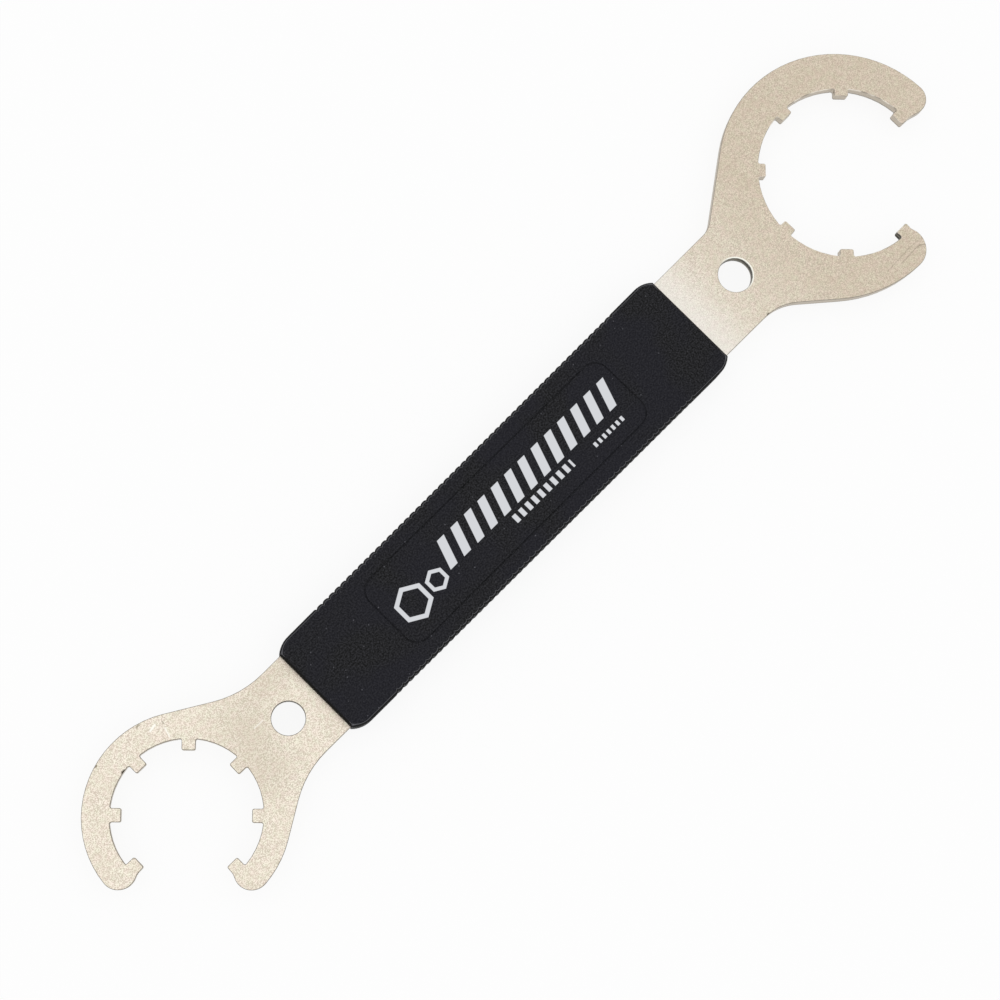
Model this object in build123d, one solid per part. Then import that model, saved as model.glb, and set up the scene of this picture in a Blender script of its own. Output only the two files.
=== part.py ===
"""Lockring wrench: a flat steel blade with a toothed, open ring at each end, and a moulded grip in between.

Millimetres. +X runs along the wrench from the small ring to the big one, and +Z is up. The origin is on the
grip's underside, where the wrench rests, midway between the two rings.
"""
from build123d import *
from math import acos, atan2, cos, degrees, hypot, radians, sin, sqrt
import os

# Wrench as a whole
ring_spacing = 252.0
blade_thickness = 3.2
grip_wall = 2.9
blade_bottom = grip_wall
grip_thickness = blade_thickness + 2 * grip_wall

# Teeth: one at each eighth of a turn, except where the ring is open
teeth_per_turn = 8
tooth_step = 360 / teeth_per_turn
tooth_tip_round = 0.5
tooth_root_round = 0.5
tooth_root_reach = 2.0

# Shoulder on the mouth side of each arm: slightly hollow, from the tip of the last tooth to the lobe
shoulder_hollow = 0.35
shoulder_round = 3.0
shoulder_share = 0.93
shoulder_reach = 2.5

# Small ring. Each arm ends in a lobe, whose place is a turn away from the middle of the mouth
small_bore_r = 19.8
small_tooth_height = 3.0
small_tooth_width = 3.6
small_arm_width = 7.15
small_mouth_direction = 224.4
small_ring_sideways = 0.67
small_lobe_r = 4.7
small_lobe_turn = 49.9
small_ring = (-ring_spacing / 2, small_ring_sideways)
small_outer_r = small_bore_r + small_arm_width
small_tip_r = small_bore_r - small_tooth_height

# Big ring: its bore sits a little off the centre of its outer edge
big_bore_r = 24.4
big_tooth_height = 2.15
big_tooth_width = 3.9
big_arm_width = 10.35
big_mouth_direction = 315.0
big_ring_sideways = -0.97
big_outer_back = 0.5
big_outer_up = 0.45
big_upper_lobe_r = 4.6
big_upper_lobe_turn = 47.2
big_ring = (ring_spacing / 2, big_ring_sideways)
big_outer_r = big_bore_r + big_arm_width
big_tip_r = big_bore_r - big_tooth_height
big_outer_centre = (big_ring[0] - big_outer_back, big_ring[1] + big_outer_up)

# Lower arm of the big ring: slimmer, and with a flatter outer edge than the rest of the ring
big_lower_arm_width = 8.84
big_lower_flatter = 5.32
big_lower_back = 2.75
big_lower_lobe_r = 6.2
big_lower_lobe_turn = 46.8
big_lower_reach = big_bore_r + big_lower_arm_width
big_lower_r = big_lower_reach + big_lower_flatter
big_lower_centre = (big_ring[0] - big_lower_back, big_ring[1] + big_lower_flatter)

# Neck at each end of the grip, and the strip between them that the grip covers
small_neck_half = 13.1
big_neck_half = 14.1
small_flare_slope = 31.0
big_upper_flare_slope = 35.4
big_lower_flare_slope = 39.7
small_flare_round = 27.0
big_upper_flare_round = 7.0
big_lower_flare_round = 14.8

# Hanging holes
small_hole_r = 4.5
big_hole_r = 4.85
small_hole_from_ring = 36.0
big_hole_from_ring = 43.8
small_hole_x = small_ring[0] + small_hole_from_ring
big_hole_x = big_ring[0] - big_hole_from_ring

# Grip: how far it stops short of each hole's middle, and how far it stands out past the blade's sides
grip_from_small_hole = 9.8
grip_from_big_hole = 18.9
grip_small_cover = 2.3
grip_big_cover = 2.25
grip_small_sideways = -0.22
grip_big_sideways = 0.11
grip_mouth_cover = 0.3
grip_corner_r = 7.5
grip_edge_inset = 0.6
grip_edge_height = 0.8
grip_small_x = small_hole_x + grip_from_small_hole
grip_big_x = big_hole_x - grip_from_big_hole
grip_length = grip_big_x - grip_small_x
grip_centre_x = (grip_small_x + grip_big_x) / 2
grip_small_half = small_neck_half + grip_small_cover
grip_big_half = big_neck_half + grip_big_cover

# Ribs down both long sides of the grip, as many as fit between its plain ends
rib_pitch = 2.17
rib_depth = 0.42
rib_flank_run = 0.35
rib_crest_rise = 0.12
rib_ramp = 0.5
rib_plain_end = 15.3
rib_count = int((grip_length - 2 * rib_plain_end) / rib_pitch)
rib_run = rib_count * rib_pitch
rib_first_x = grip_centre_x - rib_run / 2

# Engraved line round each face of the grip
panel_end_margin = 26.5
panel_width = 21.9
panel_corner_r = 4.5
panel_line_width = 0.3
panel_line_depth = 0.2
panel_length = grip_length - 2 * panel_end_margin


def around(centre, radius, direction):
    """Point at a distance and a direction in degrees from a centre."""
    return (centre[0] + radius * cos(radians(direction)), centre[1] + radius * sin(radians(direction)))


def direction_of(start, end):
    """Direction in degrees from one point to another."""
    return degrees(atan2(end[1] - start[1], end[0] - start[0]))


def meet(p, p_direction, q, q_direction):
    """Crossing point of two lines, each a point and a direction in degrees."""
    a = (cos(radians(p_direction)), sin(radians(p_direction)))
    b = (cos(radians(q_direction)), sin(radians(q_direction)))
    along = ((q[0] - p[0]) * b[1] - (q[1] - p[1]) * b[0]) / (a[0] * b[1] - a[1] * b[0])
    return (p[0] + along * a[0], p[1] + along * a[1])


def touch_direction(point, centre, radius, side):
    """Direction, from a circle's centre, of the place where a line from a point touches the circle."""
    reach = hypot(point[0] - centre[0], point[1] - centre[1])
    return direction_of(centre, point) + side * degrees(acos(radius / reach))


def turn(centre, radius, start, end):
    """Arc about a centre, counter-clockwise from one direction to another."""
    sweep = (end - start) % 360
    return ThreePointArc(
        around(centre, radius, start),
        around(centre, radius, start + sweep / 2),
        around(centre, radius, start + sweep),
    )


def mouth_side(ring, mouth_direction, tip_r, tooth_width, lobe, lobe_r, side):
    """One side of a mouth: tooth tip, hollow, start of the lobe, and a point past the head.

    Side is +1 counter-clockwise of the mouth. The shoulder grazes the lobe, a circle given by its middle.
    """
    tooth_direction = mouth_direction + side * tooth_step
    middle = around(ring, tip_r, tooth_direction)
    tip = around(middle, tooth_width / 2, tooth_direction - side * 90)
    graze = around(lobe, lobe_r, touch_direction(tip, lobe, lobe_r, side))
    slope = direction_of(tip, graze)
    run = hypot(graze[0] - tip[0], graze[1] - tip[1])
    hollow = around(around(tip, run / 2, slope), shoulder_hollow, slope + side * 90)
    lobe_start = around(tip, shoulder_share * run, slope)
    return [tip, hollow, lobe_start, around(graze, shoulder_reach * lobe_r, slope)]


def small_mouth_sides():
    """Both sides of the small ring's mouth, which are alike."""
    sides = []
    for side in (-1, 1):
        lobe_direction = small_mouth_direction + side * small_lobe_turn
        lobe = around(small_ring, small_outer_r - small_lobe_r, lobe_direction)
        tooth = (small_tip_r, small_tooth_width)
        sides.append(mouth_side(small_ring, small_mouth_direction, *tooth, lobe, small_lobe_r, side))
    return sides


def big_mouth_sides():
    """Both sides of the big ring's mouth: the slimmer lower arm's, then the upper arm's."""
    lower_direction = big_mouth_direction - big_lower_lobe_turn
    upper_direction = big_mouth_direction + big_upper_lobe_turn
    lower = around(big_lower_centre, big_lower_r - big_lower_lobe_r, lower_direction)
    upper = around(big_outer_centre, big_outer_r - big_upper_lobe_r, upper_direction)
    tooth = (big_tip_r, big_tooth_width)
    return [
        mouth_side(big_ring, big_mouth_direction, *tooth, lower, big_lower_lobe_r, -1),
        mouth_side(big_ring, big_mouth_direction, *tooth, upper, big_upper_lobe_r, 1),
    ]


def toothed_void(ring, bore_r, tip_r, tooth_width, mouth_direction):
    """What is cut out of a head: the bore without its teeth. The two end teeth run on towards the mouth."""
    teeth = Sketch()
    length = bore_r - tip_r + tooth_root_reach
    for step in range(1, teeth_per_turn):
        extra = tooth_width if step in (1, teeth_per_turn - 1) else 0.0
        shift = -extra / 2 if step == 1 else extra / 2
        place = Pos(*ring) * Rot(0, 0, mouth_direction + step * tooth_step) * Pos(tip_r + length / 2, shift)
        teeth += place * Rectangle(length, tooth_width + extra)
    return Pos(*ring) * Circle(bore_r) - teeth


def corners_at(face, centre, radius):
    """Corners of a face that lie at a distance from a centre."""
    return [v for v in face.vertices() if abs(hypot(v.X - centre[0], v.Y - centre[1]) - radius) < 0.01]


def rounded_teeth(face, ring, bore_r, tip_r, tooth_width):
    """Blade face with the tooth tips and roots of one ring rounded."""
    face = fillet(corners_at(face, ring, hypot(tip_r, tooth_width / 2)), tooth_tip_round)
    return fillet(corners_at(face, ring, bore_r), tooth_root_round)


def strip_edge_direction():
    """Slope of the blade's upper edge under the grip, which widens a little towards the big ring."""
    return degrees(atan2(big_neck_half - small_neck_half, big_hole_x - small_hole_x))


def blade_outline():
    """Edges of the blade counter-clockwise, still without mouths, and with sharp corners at the necks.

    Also gives those corners, each with the radius that rounds it.
    """
    edge_slope = strip_edge_direction()
    top = (small_hole_x, small_neck_half)
    bottom = (small_hole_x, -small_neck_half)

    big_top_touch = 90 + big_upper_flare_slope
    big_bottom_touch = 270 - big_lower_flare_slope
    small_top_touch = 90 - small_flare_slope
    small_bottom_touch = 270 + small_flare_slope
    big_top_flare = around(big_outer_centre, big_outer_r, big_top_touch)
    big_bottom_flare = around(big_lower_centre, big_lower_r, big_bottom_touch)
    small_top_flare = around(small_ring, small_outer_r, small_top_touch)
    small_bottom_flare = around(small_ring, small_outer_r, small_bottom_touch)
    big_top_neck = meet(top, edge_slope, big_top_flare, big_upper_flare_slope)
    big_bottom_neck = meet(bottom, -edge_slope, big_bottom_flare, -big_lower_flare_slope)
    small_top_neck = meet(top, edge_slope, small_top_flare, -small_flare_slope)
    small_bottom_neck = meet(bottom, -edge_slope, small_bottom_flare, small_flare_slope)

    lower_end = around(big_lower_centre, big_lower_r, big_mouth_direction)
    upper_start = around(big_outer_centre, big_outer_r, big_mouth_direction)
    edges = [
        Line(big_bottom_neck, big_bottom_flare),
        turn(big_lower_centre, big_lower_r, big_bottom_touch, big_mouth_direction),
        Line(lower_end, upper_start),
        turn(big_outer_centre, big_outer_r, big_mouth_direction, big_top_touch),
        Line(big_top_flare, big_top_neck),
        Line(big_top_neck, small_top_neck),
        Line(small_top_neck, small_top_flare),
        turn(small_ring, small_outer_r, small_top_touch, small_bottom_touch),
        Line(small_bottom_flare, small_bottom_neck),
        Line(small_bottom_neck, big_bottom_neck),
    ]
    necks = [
        (small_top_neck, small_flare_round),
        (small_bottom_neck, small_flare_round),
        (big_top_neck, big_upper_flare_round),
        (big_bottom_neck, big_lower_flare_round),
    ]
    return edges, necks


def nearest(face, point):
    """Corner of a face that lies nearest to a point."""
    return min(face.vertices(), key=lambda v: hypot(v.X - point[0], v.Y - point[1]))


def opened(face, ring, mouth_direction, outer_r, sides, lobe_radii):
    """Head with its mouth cut out, and the end of each arm rounded into its lobe."""
    far = around(ring, 2 * outer_r, mouth_direction)
    face -= make_face(Polyline(ring, *sides[0], far, *reversed(sides[1]), ring))
    for side, lobe_r in zip(sides, lobe_radii):
        face = fillet(nearest(face, side[-1]), lobe_r)
    return face


def blade():
    """Stamped plate: outline with rounded necks, less mouths, toothed bores and hanging holes."""
    edges, necks = blade_outline()
    face = make_face(edges)
    for corner, radius in necks:
        face = fillet(nearest(face, corner), radius)
    small_sides = small_mouth_sides()
    big_sides = big_mouth_sides()
    small_lobe_radii = (small_lobe_r, small_lobe_r)
    big_lobe_radii = (big_lower_lobe_r, big_upper_lobe_r)
    face = opened(face, small_ring, small_mouth_direction, small_outer_r, small_sides, small_lobe_radii)
    face = opened(face, big_ring, big_mouth_direction, big_outer_r, big_sides, big_lobe_radii)
    face -= toothed_void(small_ring, small_bore_r, small_tip_r, small_tooth_width, small_mouth_direction)
    face -= toothed_void(big_ring, big_bore_r, big_tip_r, big_tooth_width, big_mouth_direction)
    face = rounded_teeth(face, small_ring, small_bore_r, small_tip_r, small_tooth_width)
    face = rounded_teeth(face, big_ring, big_bore_r, big_tip_r, big_tooth_width)
    for tip, hollow, lobe_start, past in small_sides + big_sides:
        face = fillet(nearest(face, hollow), shoulder_round)
    face -= Pos(small_hole_x, 0) * Circle(small_hole_r)
    face -= Pos(big_hole_x, 0) * Circle(big_hole_r)
    return Pos(0, 0, blade_bottom) * extrude(face, blade_thickness)


def grip_half(x, side):
    """Distance of the grip's rib crests from the wrench's middle line, at a place along one side."""
    share = (x - grip_small_x) / grip_length
    half = grip_small_half + share * (grip_big_half - grip_small_half)
    sideways = grip_small_sideways + share * (grip_big_sideways - grip_small_sideways)
    return half + side * sideways


def grip_side(inset, side):
    """Edges of one long side of the grip, small end first, with the first and last point."""
    small_end_half = small_neck_half + grip_mouth_cover
    big_end_half = big_neck_half + grip_mouth_cover
    first = (grip_small_x + inset, side * (small_end_half - inset))
    last = (grip_big_x - inset, side * (big_end_half - inset))

    def at(x, lower=0.0):
        return (x, side * (grip_half(x, side) - lower - inset))

    def corner(end_x, end_half, inward):
        rise = grip_half(end_x, side) - end_half
        run = sqrt(rise * (2 * grip_corner_r - rise))
        lean = degrees(atan2(run, grip_corner_r - rise)) / 2
        full_x = end_x + inward * run
        middle_x = full_x - inward * grip_corner_r * sin(radians(lean))
        middle_drop = grip_corner_r * (1 - cos(radians(lean)))
        return at(full_x), at(middle_x, middle_drop)

    small_full, small_middle = corner(grip_small_x, small_end_half, 1)
    big_full, big_middle = corner(grip_big_x, big_end_half, -1)
    rib_end_x = rib_first_x + rib_run
    edges = [ThreePointArc(first, small_middle, small_full)]
    edges.append(Line(small_full, at(rib_first_x - rib_ramp)))
    edges.append(Line(at(rib_first_x - rib_ramp), at(rib_first_x, rib_depth)))
    for rib in range(rib_count):
        valley = rib_first_x + rib * rib_pitch
        next_valley = valley + rib_pitch
        crest_start = at(valley + rib_flank_run, rib_crest_rise)
        crest_end = at(next_valley - rib_flank_run, rib_crest_rise)
        edges.append(Line(at(valley, rib_depth), crest_start))
        edges.append(ThreePointArc(crest_start, at(valley + rib_pitch / 2), crest_end))
        edges.append(Line(crest_end, at(next_valley, rib_depth)))
    edges.append(Line(at(rib_end_x, rib_depth), at(rib_end_x + rib_ramp)))
    edges.append(Line(at(rib_end_x + rib_ramp), big_full))
    edges.append(ThreePointArc(big_full, big_middle, last))
    return edges, first, last


def grip_section(inset, height):
    """Closed outline of the grip at a height, drawn in by an inset."""
    top, top_first, top_last = grip_side(inset, 1)
    bottom, bottom_first, bottom_last = grip_side(inset, -1)
    edges = top + [Line(top_last, bottom_last)] + bottom + [Line(bottom_first, top_first)]
    return Pos(0, 0, height) * make_face(edges)


def panel_line(face_height, into):
    """Thin engraved line, a rounded rectangle, cut into one face of the grip."""
    inner_corner_r = panel_corner_r - panel_line_width
    outer = RectangleRounded(panel_length + panel_line_width, panel_width + panel_line_width, panel_corner_r)
    inner = RectangleRounded(panel_length - panel_line_width, panel_width - panel_line_width, inner_corner_r)
    line = Pos(grip_centre_x, 0, face_height) * (outer - inner)
    return extrude(line, into * panel_line_depth)


def grip(blade_inside):
    """Moulded sleeve: ribbed plan lofted through its broken edges, less the blade that runs through it."""
    sections = [
        grip_section(grip_edge_inset, 0),
        grip_section(0, grip_edge_height),
        grip_section(0, grip_thickness - grip_edge_height),
        grip_section(grip_edge_inset, grip_thickness),
    ]
    sleeve = loft(sections, ruled=True)
    sleeve -= panel_line(0, 1)
    sleeve -= panel_line(grip_thickness, -1)
    return sleeve - blade_inside


os.makedirs("parts", exist_ok=True)
steel_blade = blade()
export_step(steel_blade, "parts/blade.step")
export_step(grip(steel_blade), "parts/grip.step")
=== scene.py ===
"""Looks of the lockring wrench: a nickel-plated steel blade in a moulded black grip, on a white table.

Metres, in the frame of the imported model: +X from the small ring to the big one, +Z up, and the grip's
underside at 0. Inside the materials, places and sizes are in millimetres.
"""
import bpy
import math
from mathutils import Matrix, Vector

MM = 0.001

# Blade: its upper face, and the middle and radius of the big bore, both hanging holes and the side of the
# big ring's lowest tooth
BLADE_TOP = 6.1
BLADE_MIDDLE = 4.5
BIG_BORE = ((126.0, -0.97, BLADE_MIDDLE), 24.4)
SMALL_HOLE = ((-90.0, 0.0, BLADE_MIDDLE), 4.5)
BIG_HOLE = ((82.2, 0.0, BLADE_MIDDLE), 4.85)
LOWEST_TOOTH = ((124.0, -24.0, BLADE_MIDDLE), 2.1)

# Stretches along the wrench, from one end to the other, over which the plating changes, and the last one,
# over which a painted sheen beside the grip fades out
HEADS_APART = (-60.0, 60.0)
BIG_END_YELLOWS = (60.0, 110.0)
GRIP_SIDE_SHEEN = (78.0, 62.0)

# Heights on the cut edges, over which they turn darker towards the bottom, and over which the painted shade
# in the holes gets lighter below the rim
WALL_DARKER_BELOW = (3.9, 3.1)
RIM_TO_WALL = (5.3, 4.7)

# Satin nickel has a grain of about 0.05 mm, too fine to show, so it is drawn as coarse as it needs to show.
# Its faint tint changes every millimetre or two, and the tumbling leaves clouds of several millimetres.
SATIN_GRAIN = 0.3
PLATING_TINT = 1.6
PLATING_CLOUDS = 7.0

# The shear leaves grooves about 0.2 mm apart, drawn coarser so that they show, and painted highlights lie
# on the big bore's rim in patches of 3 mm
CUTTER_GROOVES = 0.7
RIM_HIGHLIGHT_PATCHES = 3.0

# The mould's pebble is 0.1 to 0.2 mm across, also drawn coarser, so that it shows. Its clouds follow the
# flow of the plastic, and a grain stands out enough to glint every few millimetres.
PEBBLE = 0.45
PEBBLE_CLOUDS = 14.0
SHINY_SPECK_SPACING = 2.6

# Grip: its upper face, the depth of its engraved line, how far that line reaches from the grip's middle,
# and how soft the print's edge is
GRIP_TOP = 9.0
ENGRAVED_DEPTH = 0.1
PANEL_REACH = 12.0
PRINT_EDGE = 0.04


def linear(hex_colour):
    """sRGB hex value as a linear colour with full alpha."""
    values = [int(hex_colour[i:i + 2], 16) / 255 for i in (1, 3, 5)]
    turned = [v / 12.92 if v <= 0.04045 else ((v + 0.055) / 1.055) ** 2.4 for v in values]
    return (*turned, 1.0)


def add(tree, kind, inputs=(), **settings):
    """Adds a node with its settings.

    Its inputs, by name or in order, take values or links from other nodes.
    """
    node = tree.nodes.new("ShaderNode" + kind)
    for name, value in settings.items():
        setattr(node, name, value)
    in_use = [socket for socket in node.inputs if socket.enabled]
    by_name = {socket.name: socket for socket in in_use}
    pairs = inputs.items() if isinstance(inputs, dict) else enumerate(inputs)
    for key, value in pairs:
        socket = by_name[key] if isinstance(key, str) else in_use[key]
        if isinstance(value, bpy.types.Node):
            value = next(result for result in value.outputs if result.enabled)
        if isinstance(value, bpy.types.NodeSocket):
            tree.links.new(value, socket)
        else:
            socket.default_value = value
    return node


def new_finish(name):
    """Material with an empty node tree."""
    material = bpy.data.materials.new(name)
    material.use_nodes = True
    material.node_tree.nodes.clear()
    return material, material.node_tree


def place_in_mm(tree):
    """Place on the object in millimetres, and the same by axis."""
    metres = add(tree, "TexCoord").outputs["Object"]
    place = add(tree, "VectorMath", [metres, (1 / MM, 1 / MM, 1 / MM)], operation="MULTIPLY")
    return place, add(tree, "SeparateXYZ", [place]).outputs


def on_stroke(tree, place, start, end, half_width):
    """1 on a straight mark on the blade's face, falling to 0 at its sides and ends."""
    first = Vector((*start, BLADE_TOP))
    along = Vector((*end, BLADE_TOP)) - first
    length = along.length
    along.normalize()
    from_start = add(tree, "VectorMath", [place, first], operation="SUBTRACT")
    run = add(tree, "VectorMath", [from_start, along], operation="DOT_PRODUCT").outputs["Value"]
    held = add(tree, "MapRange", [run, 0.0, length, 0.0, length])
    foot = add(tree, "VectorMath", {"Vector": along, "Scale": held}, operation="SCALE")
    reach = add(tree, "VectorMath", [from_start, foot], operation="DISTANCE").outputs["Value"]
    return add(tree, "MapRange", [reach, half_width, 0.0], interpolation_type="SMOOTHSTEP")


def worn(tree, tone, place):
    """Tone with the handling marks on the plating drawn over it.

    Each mark is a colour, its strength, its half width and the points that it runs through. First comes the
    grubby neck by the small ring, then the creases by the big ring's lower arm, and then scratches, nicks and
    two dark burrs.
    """
    grubby, crease, scratch, nick, burr = "#B5A892", "#8C8170", "#FFFCF4", "#7B6F5C", "#3A342B"
    marks = [
        (grubby, 0.26, 13.0, [(-103.0, -5.0), (-99.0, 7.0)]),
        (grubby, 0.2, 6.0, [(-90.0, 11.0), (-80.0, 9.0)]),
        (crease, 0.5, 0.35, [(127.4, -31.3), (126.0, -30.3), (124.4, -30.1)]),
        (crease, 0.42, 0.3, [(124.4, -30.1), (118.5, -30.3)]),
        (crease, 0.27, 0.3, [(126.7, -29.0), (122.9, -28.8), (113.8, -29.1)]),
        (scratch, 1.0, 0.5, [(-115.6, 23.2), (-117.5, 22.9)]),
        (scratch, 0.8, 0.35, [(-114.3, 20.8), (-115.0, 18.3)]),
        (nick, 0.6, 0.35, [(-113.6, 22.6), (-113.7, 21.8)]),
        (scratch, 0.6, 0.3, [(-95.2, 4.3), (-98.1, 4.4)]),
        (nick, 0.6, 0.45, [(-118.5, 26.1), (-119.3, 26.1)]),
        (nick, 0.9, 0.45, [(-133.9, 26.2), (-133.4, 26.2)]),
        (burr, 1.0, 0.75, [(-129.9, 20.2), (-129.3, 20.2)]),
        (burr, 0.9, 0.65, [(80.8, -14.1), (80.6, -14.1)]),
    ]
    for mark_tone, strength, half_width, points in marks:
        for start, end in zip(points, points[1:]):
            stroke = on_stroke(tree, place, start, end, half_width)
            share = add(tree, "Math", [stroke, strength], operation="MULTIPLY")
            tone = add(tree, "Mix", {"Factor": share, "A": tone, "B": linear(mark_tone)}, data_type="RGBA")
    return tone


def cut_walls(tree, place, axes):
    """Tone of the blade's cut walls: lighter above and darker towards the bottom, with painted shade in the
    tight places over the real shear grooves.

    The reach is from the blade's middle height, so a hole's rim lies a little past its radius.
    """
    # Darker towards the bottom of the walls.
    darker_below = add(tree, "MapRange", [axes[2], *WALL_DARKER_BELOW])
    tone = add(
        tree, "Mix", {"Factor": darker_below, "A": linear("#C1B7A8"), "B": linear("#918A7F")}, data_type="RGBA"
    )
    stretched = add(tree, "VectorMath", [place, (0.1, 0.1, 1.0)], operation="MULTIPLY")
    grooves = add(tree, "TexNoise", {"Vector": stretched, "Scale": 1 / CUTTER_GROOVES, "Detail": 1.0})
    ridges = add(tree, "MapRange", [grooves, 0.35, 0.65])
    # Painted shade for the walls in the tight places: darkest by the rim, lighter lower down, over the real
    # shear grooves.
    below_rim = add(tree, "MapRange", [axes[2], *RIM_TO_WALL, 0.15, 1.0])
    ridges = add(tree, "Math", [ridges, below_rim], operation="MULTIPLY")
    painted_hole_shade = add(
        tree, "Mix", {"Factor": ridges, "A": linear("#242016"), "B": linear("#7C7460")}, data_type="RGBA"
    )
    for centre, radius in (SMALL_HOLE, BIG_HOLE, LOWEST_TOOTH):
        reach = add(tree, "VectorMath", [place, centre], operation="DISTANCE").outputs["Value"]
        inside = add(tree, "MapRange", [reach, radius + 0.7, radius + 0.5])
        tone = add(tree, "Mix", {"Factor": inside, "A": tone, "B": painted_hole_shade}, data_type="RGBA")
    return tone


def rims(tree, tone, place, axes, flatness):
    """Tone of the broken edges: dark by the small ring, greyer by the big one.

    Painted highlights light the big bore's rim in patches, and a painted highlight makes a thin pale ring on
    the outer side of the big end's hole.
    """
    # Painted highlights on the big bore's rim, in patches.
    patches = add(tree, "TexNoise", {"Vector": place, "Scale": 1 / RIM_HIGHLIGHT_PATCHES, "Detail": 1.0})
    painted_rim_highlight = add(tree, "MapRange", [patches, 0.4, 0.6])
    along = add(tree, "MapRange", [axes[0], *HEADS_APART])
    edge = add(
        tree, "Mix", {"Factor": along, "A": linear("#5C564C"), "B": linear("#8A847C")}, data_type="RGBA"
    )
    centre, radius = BIG_BORE
    reach = add(tree, "VectorMath", [place, centre], operation="DISTANCE").outputs["Value"]
    in_bore = add(tree, "MapRange", [reach, radius + 2.0, radius + 1.6])
    share = add(tree, "Math", [painted_rim_highlight, in_bore], operation="MULTIPLY")
    edge = add(tree, "Mix", {"Factor": share, "A": edge, "B": linear("#F4EDE1")}, data_type="RGBA")
    broken = add(tree, "MapRange", [flatness, 0.97, 0.85])
    tone = add(tree, "Mix", {"Factor": broken, "A": tone, "B": edge}, data_type="RGBA")

    centre, radius = BIG_HOLE
    # Painted highlight: a thin pale ring on the outer side of the big end's hole.
    highlit_side = add(tree, "MapRange", [axes[0], centre[0] - 1.5, centre[0] + 2.0])
    reach = add(tree, "VectorMath", [place, centre], operation="DISTANCE").outputs["Value"]
    ring = add(tree, "MapRange", [reach, radius + 0.66, radius + 0.54])
    share = add(tree, "Math", [highlit_side, ring], operation="MULTIPLY")
    return add(tree, "Mix", {"Factor": share, "A": tone, "B": linear("#FFFEF4")}, data_type="RGBA")


def nickel_plated_steel():
    """Sheet steel, stamped, tumbled and satin nickel plated.

    That gives a warm pale grey with a fine matt speckle, stronger by the small ring, and a yellower cast on
    the big one. Beside the grip, on the big side, a painted sheen makes the plating lighter.
    """
    material, tree = new_finish("nickel plated steel, tumbled")
    place, axes = place_in_mm(tree)
    normal = add(tree, "SeparateXYZ", [add(tree, "NewGeometry").outputs["Normal"]]).outputs

    satin = add(tree, "TexNoise", {"Vector": place, "Scale": 1 / SATIN_GRAIN, "Detail": 1.0})
    contrast = add(tree, "MapRange", [axes[0], *HEADS_APART, 4.4, 2.6])
    from_middle = add(tree, "Math", [satin, 0.5], operation="SUBTRACT")
    speckle = add(tree, "Math", [from_middle, contrast, 0.5], operation="MULTIPLY_ADD", use_clamp=True)
    tone = add(
        tree, "Mix", {"Factor": speckle, "A": linear("#CDC3B5"), "B": linear("#FFF9ED")}, data_type="RGBA"
    )

    clouds = add(tree, "TexNoise", {"Vector": place, "Scale": 1 / PLATING_CLOUDS, "Detail": 3.0})
    cloudy = add(tree, "MapRange", [clouds, 0.35, 0.65, 0.0, 0.25])
    tone = add(tree, "Mix", {"Factor": cloudy, "A": tone, "B": linear("#E3D8C6")}, data_type="RGBA")

    big_end = add(tree, "MapRange", [axes[0], *BIG_END_YELLOWS], interpolation_type="SMOOTHSTEP")
    tint = add(tree, "TexNoise", {"Vector": place, "Scale": 1 / PLATING_TINT, "Detail": 3.0})
    greener = add(tree, "MapRange", [tint, 0.35, 0.65])
    casts = [(big_end, "#FFFFFF", "#EDE8E2"), (greener, "#FFFAF9", "#FCFEF8")]
    for share, first, second in casts:
        cast = add(tree, "Mix", {"Factor": share, "A": linear(first), "B": linear(second)}, data_type="RGBA")
        cast_on = {"Factor": 1.0, "A": tone, "B": cast}
        tone = add(tree, "Mix", cast_on, data_type="RGBA", blend_type="MULTIPLY")

    # Painted sheen: beside the grip on the big side, the plating is drawn lighter, where light catches it.
    painted_neck_sheen = add(tree, "MapRange", [axes[0], *GRIP_SIDE_SHEEN, 0.0, 0.45], interpolation_type="SMOOTHSTEP")
    on_big_side = add(tree, "Math", [axes[0], 0.0], operation="GREATER_THAN")
    painted_sheen_share = add(tree, "Math", [painted_neck_sheen, on_big_side], operation="MULTIPLY")
    tone = add(tree, "Mix", {"Factor": painted_sheen_share, "A": tone, "B": linear("#FFFEFC")}, data_type="RGBA")

    flatness = add(tree, "Math", [normal[2]], operation="ABSOLUTE")
    tone = rims(tree, tone, place, axes, flatness)
    wall = add(tree, "MapRange", [flatness, 0.5, 0.1], interpolation_type="SMOOTHSTEP")
    walls = cut_walls(tree, place, axes)
    tone = add(tree, "Mix", {"Factor": wall, "A": tone, "B": walls}, data_type="RGBA")
    tone = worn(tree, tone, place)

    bump = add(tree, "Bump", {"Strength": 0.25, "Distance": 0.02 * MM, "Height": satin})
    steel = add(
        tree, "BsdfPrincipled",
        {
            "Base Color": tone,
            "Metallic": 1.0,
            "Roughness": add(tree, "MapRange", [satin, 0.3, 0.7, 0.36, 0.5]),
            "Normal": bump,
        },
    )
    add(tree, "OutputMaterial", {"Surface": steel})
    return material


def between(tree, value, low, high):
    """1 between two values, with a crisp edge."""
    above = add(tree, "MapRange", [value, low - PRINT_EDGE, low + PRINT_EDGE])
    below = add(tree, "MapRange", [value, high + PRINT_EDGE, high - PRINT_EDGE])
    return add(tree, "Math", [above, below], operation="MULTIPLY")


def row_of_bars(tree, x, y, span, rows, pitch, bar, lean=0.0):
    """Printed bars side by side along the grip, between two heights, all leaning the same way."""
    leaned = add(tree, "Math", [y, -lean, x], operation="MULTIPLY_ADD")
    from_start = add(tree, "Math", [leaned, span[0]], operation="SUBTRACT")
    repeated = add(tree, "Math", [from_start, pitch], operation="MODULO")
    bars = between(tree, repeated, PRINT_EDGE, bar + PRINT_EDGE)
    inside = add(
        tree, "Math", [between(tree, leaned, *span), between(tree, y, *rows)], operation="MULTIPLY"
    )
    return add(tree, "Math", [bars, inside], operation="MULTIPLY")


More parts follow.
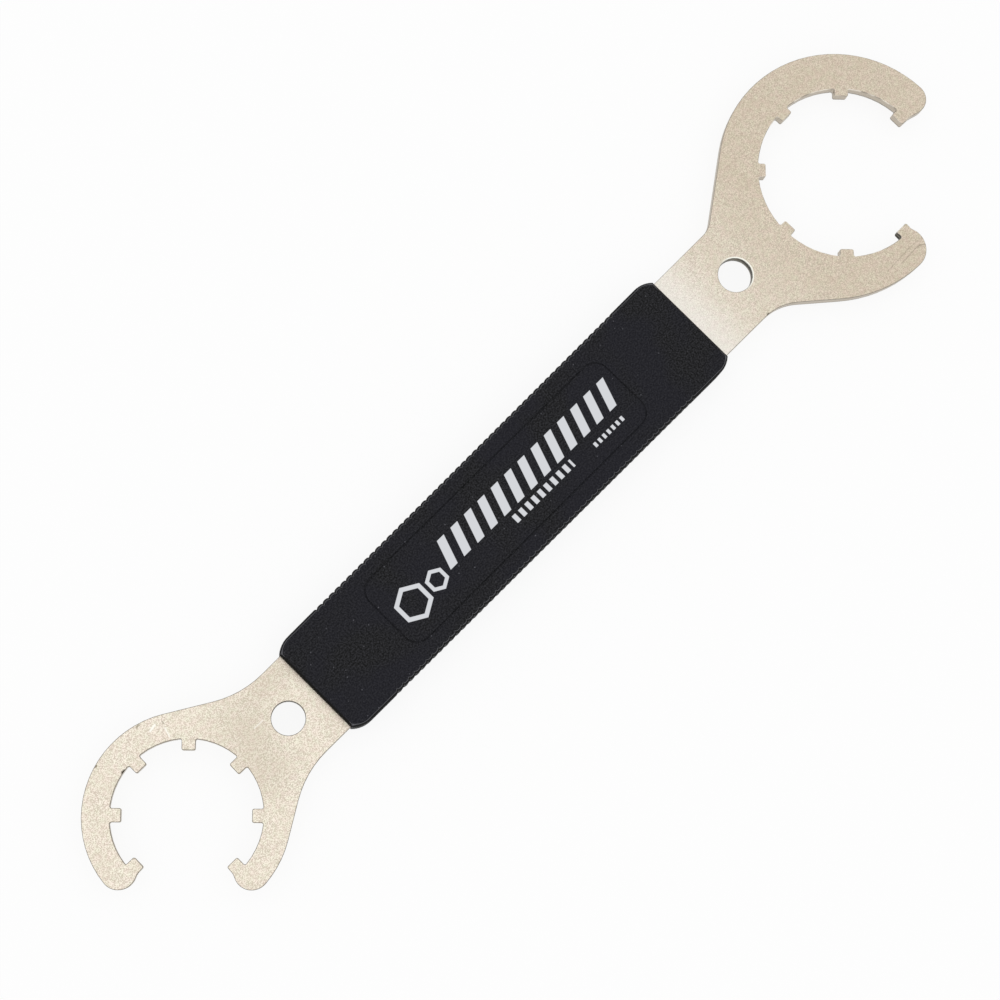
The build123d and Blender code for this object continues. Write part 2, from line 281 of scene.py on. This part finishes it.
def hexagon_outline(tree, x, y, centre, radius, line):
    """Printed outline of a plain hexagon, by its reach across three pairs of sides."""
    from_x = add(tree, "Math", [x, centre[0]], operation="SUBTRACT")
    from_y = add(tree, "Math", [y, centre[1]], operation="SUBTRACT")
    across = 0.0
    for degrees in (0, 60, 120):
        turn = math.radians(degrees)
        part = add(tree, "Math", [from_x, math.cos(turn)], operation="MULTIPLY")
        along = add(tree, "Math", [from_y, math.sin(turn), part], operation="MULTIPLY_ADD")
        reach = add(tree, "Math", [along], operation="ABSOLUTE")
        across = add(tree, "Math", [reach, across], operation="MAXIMUM")
    return between(tree, across, radius - line, radius)


def pad_print(tree, axes):
    """Where the grip's upper face, but not its engraved line, carries the pale print.

    The print is two hexagons, a long row of leaning bars and two small rows of upright ones.
    """
    x, y, z = axes
    marks = [
        hexagon_outline(tree, x, y, (-45.6, -1.8), 4.7, 1.2),
        hexagon_outline(tree, x, y, (-36.9, -1.8), 2.9, 1.0),
        row_of_bars(tree, x, y, (-31.6, 33.4), (-2.5, 5.5), 5.1, 2.6, 0.35),
        row_of_bars(tree, x, y, (-10.8, 11.5), (-6.3, -3.9), 2.4, 1.3),
        row_of_bars(tree, x, y, (19.0, 30.5), (-6.8, -5.4), 1.7, 0.9),
    ]
    on_face = add(tree, "Math", [z, GRIP_TOP - ENGRAVED_DEPTH], operation="GREATER_THAN")
    any_mark = marks[0]
    for mark in marks[1:]:
        any_mark = add(tree, "Math", [any_mark, mark], operation="MAXIMUM")
    return add(tree, "Math", [on_face, any_mark], operation="MULTIPLY")


def moulded_black_plastic():
    """Polypropylene, moulded in a spark-eroded cavity: near black, a little blue, with a fine pebble.

    Painted shade makes its sides darker than its faces, and a painted glint lies along the edge between them.
    The print is a thin pale ink that fills the pebble a little, so it is smoother than the plastic round it.
    """
    material, tree = new_finish("black polypropylene, pebble moulded")
    place, axes = place_in_mm(tree)
    normal = add(tree, "SeparateXYZ", [add(tree, "NewGeometry").outputs["Normal"]]).outputs

    pebble = add(tree, "TexNoise", {"Vector": place, "Scale": 1 / PEBBLE, "Detail": 2.0})
    raised = add(tree, "MapRange", [pebble, 0.4, 0.65])
    tone = add(
        tree, "Mix", {"Factor": raised, "A": linear("#030303"), "B": linear("#2D2D30")}, data_type="RGBA"
    )

    clouds = add(tree, "TexNoise", {"Vector": place, "Scale": 1 / PEBBLE_CLOUDS, "Detail": 1.0})
    bluish = add(tree, "MapRange", [clouds, 0.4, 0.6, 0.05, 0.45])
    tone = add(tree, "Mix", {"Factor": bluish, "A": tone, "B": linear("#1B1B26")}, data_type="RGBA")

    specks = add(tree, "TexVoronoi", {"Vector": place, "Scale": 1 / SHINY_SPECK_SPACING}).outputs["Distance"]
    shiny = add(tree, "MapRange", [specks, 0.09, 0.03, 0.0, 0.5])
    tone = add(tree, "Mix", {"Factor": shiny, "A": tone, "B": linear("#77777E")}, data_type="RGBA")

    flatness = add(tree, "Math", [normal[2]], operation="ABSOLUTE")
    # Painted shade: the sides are drawn near black.
    side = add(tree, "MapRange", [flatness, 0.78, 0.64])
    tone = add(tree, "Mix", {"Factor": side, "A": tone, "B": linear("#040404")}, data_type="RGBA")
    # Painted glint along the edge between side and face, left out beside the engraved line.
    above_side = add(tree, "MapRange", [flatness, 0.68, 0.82])
    below_face = add(tree, "MapRange", [flatness, 0.995, 0.95])
    painted_edge_glint = add(tree, "Math", [above_side, below_face], operation="MULTIPLY")
    from_middle = add(tree, "Math", [axes[1]], operation="ABSOLUTE")
    beside_line = add(tree, "Math", [from_middle, PANEL_REACH], operation="GREATER_THAN")
    painted_edge_glint = add(tree, "Math", [painted_edge_glint, beside_line], operation="MULTIPLY")
    tone = add(tree, "Mix", {"Factor": painted_edge_glint, "A": tone, "B": linear("#66666A")}, data_type="RGBA")

    printed = pad_print(tree, axes)
    tone = add(tree, "Mix", {"Factor": printed, "A": tone, "B": linear("#D8DADE")}, data_type="RGBA")

    bump = add(tree, "Bump", {"Strength": 0.5, "Distance": 0.05 * MM, "Height": pebble})
    plastic = add(
        tree, "BsdfPrincipled",
        {
            "Base Color": tone,
            "Roughness": add(tree, "MapRange", [printed, 0.0, 1.0, 0.6, 0.45]),
            "Specular IOR Level": 0.15,
            "Normal": bump,
        },
    )
    add(tree, "OutputMaterial", {"Surface": plastic})
    return material


def dress(name, finish, edge):
    """Gives a CAD node its finish, and breaks its sharp edges by so many millimetres.

    The faces are joined and made whole first, so that only real edges break. Where an edge break meets the
    engraved line, it leaves doubled corners, which the last step joins.
    """
    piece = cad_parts[name]
    for slot in piece.material_slots:
        slot.material = finish
    joined = piece.modifiers.new("joined faces", "WELD")
    joined.merge_threshold = 0.001 * MM
    whole = piece.modifiers.new("whole flat faces", "DECIMATE")
    whole.decimate_type = "DISSOLVE"
    whole.angle_limit = math.radians(0.5)
    broken = piece.modifiers.new("broken edge", "BEVEL")
    broken.width = edge * MM
    broken.segments = 2
    broken.limit_method = "ANGLE"
    broken.angle_limit = math.radians(40)
    broken.harden_normals = True
    closed = piece.modifiers.new("no doubled corners", "WELD")
    closed.merge_threshold = 0.002 * MM


def table_top():
    """White laminate table, plain to the camera, that still takes the wrench's soft shadow."""
    half = 3.0
    corners = [(-half, -half, 0), (half, -half, 0), (half, half, 0), (-half, half, 0)]
    mesh = bpy.data.meshes.new("table top")
    mesh.from_pydata(corners, [], [(0, 1, 2, 3)])
    table = bpy.data.objects.new("table_top", mesh)
    bpy.context.scene.collection.objects.link(table)

    laminate, tree = new_finish("white table laminate")
    matt = add(tree, "BsdfDiffuse", {"Color": linear("#F4F4F4")})
    plain = add(tree, "Emission", {"Color": linear("#FFFFFF"), "Strength": 1.0})
    path = add(tree, "LightPath").outputs
    seen = add(tree, "Math", [path["Is Camera Ray"], path["Is Glossy Ray"]], operation="MAXIMUM")
    seen = add(tree, "Math", [seen, path["Is Transmission Ray"]], operation="MAXIMUM")
    share = add(tree, "Math", [seen, 0.88], operation="MULTIPLY")
    surface = add(tree, "MixShader", [share, matt, plain])
    add(tree, "OutputMaterial", {"Surface": surface})
    mesh.materials.append(laminate)


def studio():
    """Even white room light, with one large soft lamp above the small ring."""
    world = bpy.data.worlds.new("soft white room")
    bpy.context.scene.world = world
    world.use_nodes = True
    tree = world.node_tree
    tree.nodes.clear()
    room = add(tree, "Background", {"Color": linear("#FFFFFF"), "Strength": 0.94})
    add(tree, "OutputWorld", {"Surface": room})

    lamp = bpy.data.lights.new("overhead softbox", "AREA")
    lamp.shape = "DISK"
    lamp.size = 0.9
    lamp.energy = 0.5
    softbox = bpy.data.objects.new("overhead_softbox", lamp)
    bpy.context.scene.collection.objects.link(softbox)
    softbox.location = (-0.2, 0.1, 1.3)
    softbox.rotation_mode = "QUATERNION"
    softbox.rotation_quaternion = (-softbox.location).to_track_quat("-Z", "Y")


def photo_camera():
    """Camera above the small ring's end, turned so that the wrench runs from lower left to upper right.

    The lens is fitted to the photograph, whose middle lies half a pixel off the lens's in both directions.
    """
    eye = Vector((-119.888, -29.269, 586.013)) * MM
    looks_at = Vector((-9.198, 1.418, BLADE_TOP)) * MM
    roll = math.radians(29.487)
    away = (looks_at - eye).normalized()
    level = away.cross(Vector((0, 0, 1))).normalized()
    level_up = level.cross(away)
    right = level * math.cos(roll) + level_up * math.sin(roll)
    up = right.cross(away)
    lens = bpy.data.cameras.new("photo camera")
    lens.sensor_width = 36.0
    lens.lens = 79.412
    lens.shift_x = -0.0005
    lens.shift_y = 0.0005
    lens.clip_start = 0.01
    lens.clip_end = 20.0
    camera = bpy.data.objects.new("photo_camera", lens)
    bpy.context.scene.collection.objects.link(camera)
    turned = Matrix((right, up, -away)).transposed().to_4x4()
    camera.matrix_world = Matrix.Translation(eye) @ turned
    bpy.context.scene.camera = camera


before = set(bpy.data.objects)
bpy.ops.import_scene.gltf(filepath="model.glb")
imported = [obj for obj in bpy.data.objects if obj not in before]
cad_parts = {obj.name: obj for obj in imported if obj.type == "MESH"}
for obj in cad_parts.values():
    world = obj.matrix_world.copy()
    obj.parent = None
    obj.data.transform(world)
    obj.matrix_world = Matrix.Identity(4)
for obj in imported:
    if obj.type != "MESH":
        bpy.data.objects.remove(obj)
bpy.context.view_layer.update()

photo_camera()
studio()
table_top()
dress("blade", nickel_plated_steel(), 0.2)
dress("grip", moulded_black_plastic(), 0.15)

bpy.context.scene.view_settings.view_transform = "Standard"
